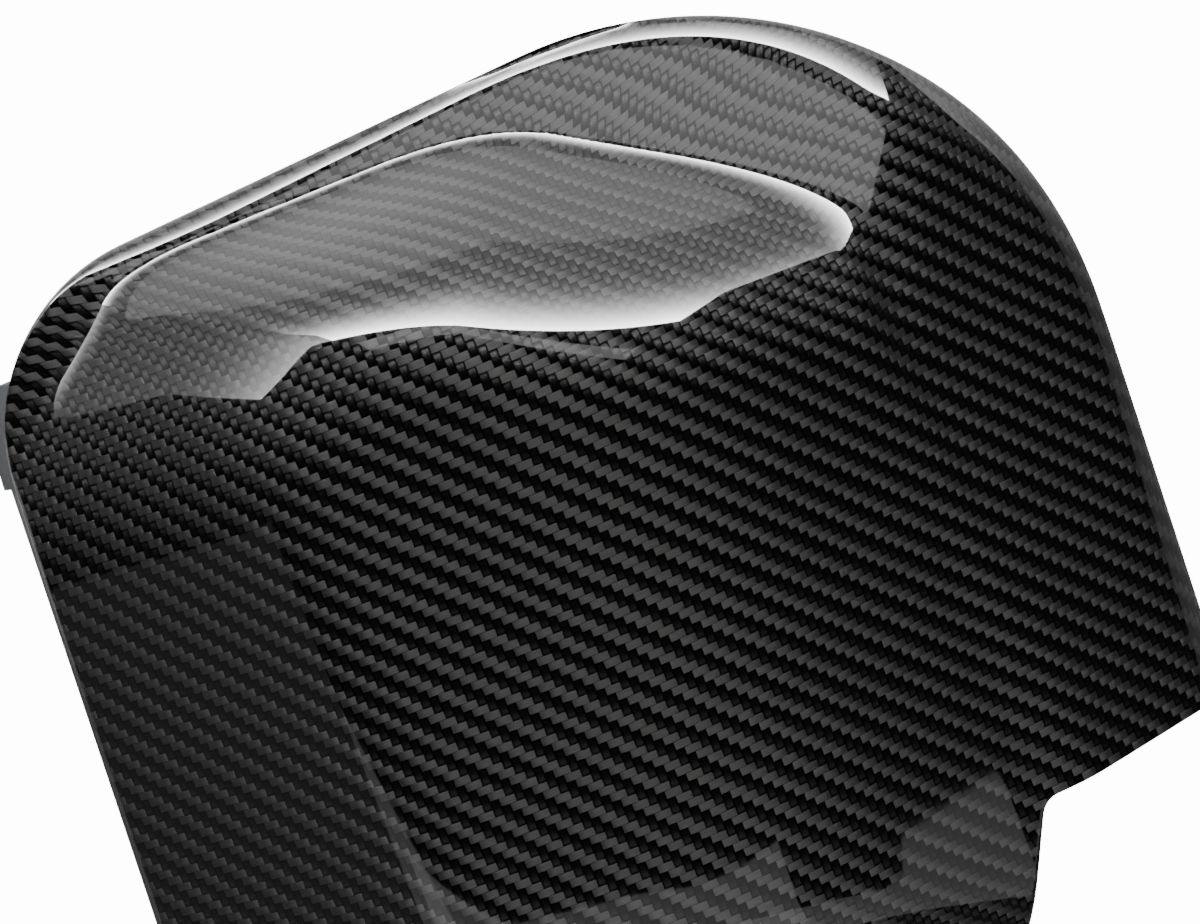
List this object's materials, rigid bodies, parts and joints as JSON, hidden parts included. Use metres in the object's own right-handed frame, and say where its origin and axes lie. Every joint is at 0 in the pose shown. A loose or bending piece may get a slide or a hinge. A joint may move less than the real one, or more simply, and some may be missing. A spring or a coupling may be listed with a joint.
{
  "type": "wing mirror cover",
  "caption": "Glossy carbon-fibre wing mirror cover on a black moulded carrier, open at the back, with an arm cut-out at the lower inboard corner.",
  "frame": {"origin": "centre of the rim in plan, on the plane that the rim rests on", "axes": "+X inboard towards the mirror arm, +Y up on the car, +Z out of the front of the cover"},
  "size_m": [0.241, 0.2309, 0.0549],
  "materials": {
    "carbon_skin": "clear-coated 2x2 twill carbon laminate, high gloss",
    "black_carrier": "moulded black ABS, satin texture"
  },
  "bodies": {
    "root": {"outer_skin": "carbon_skin", "inner_carrier": "black_carrier"}
  },
  "joints": []
}
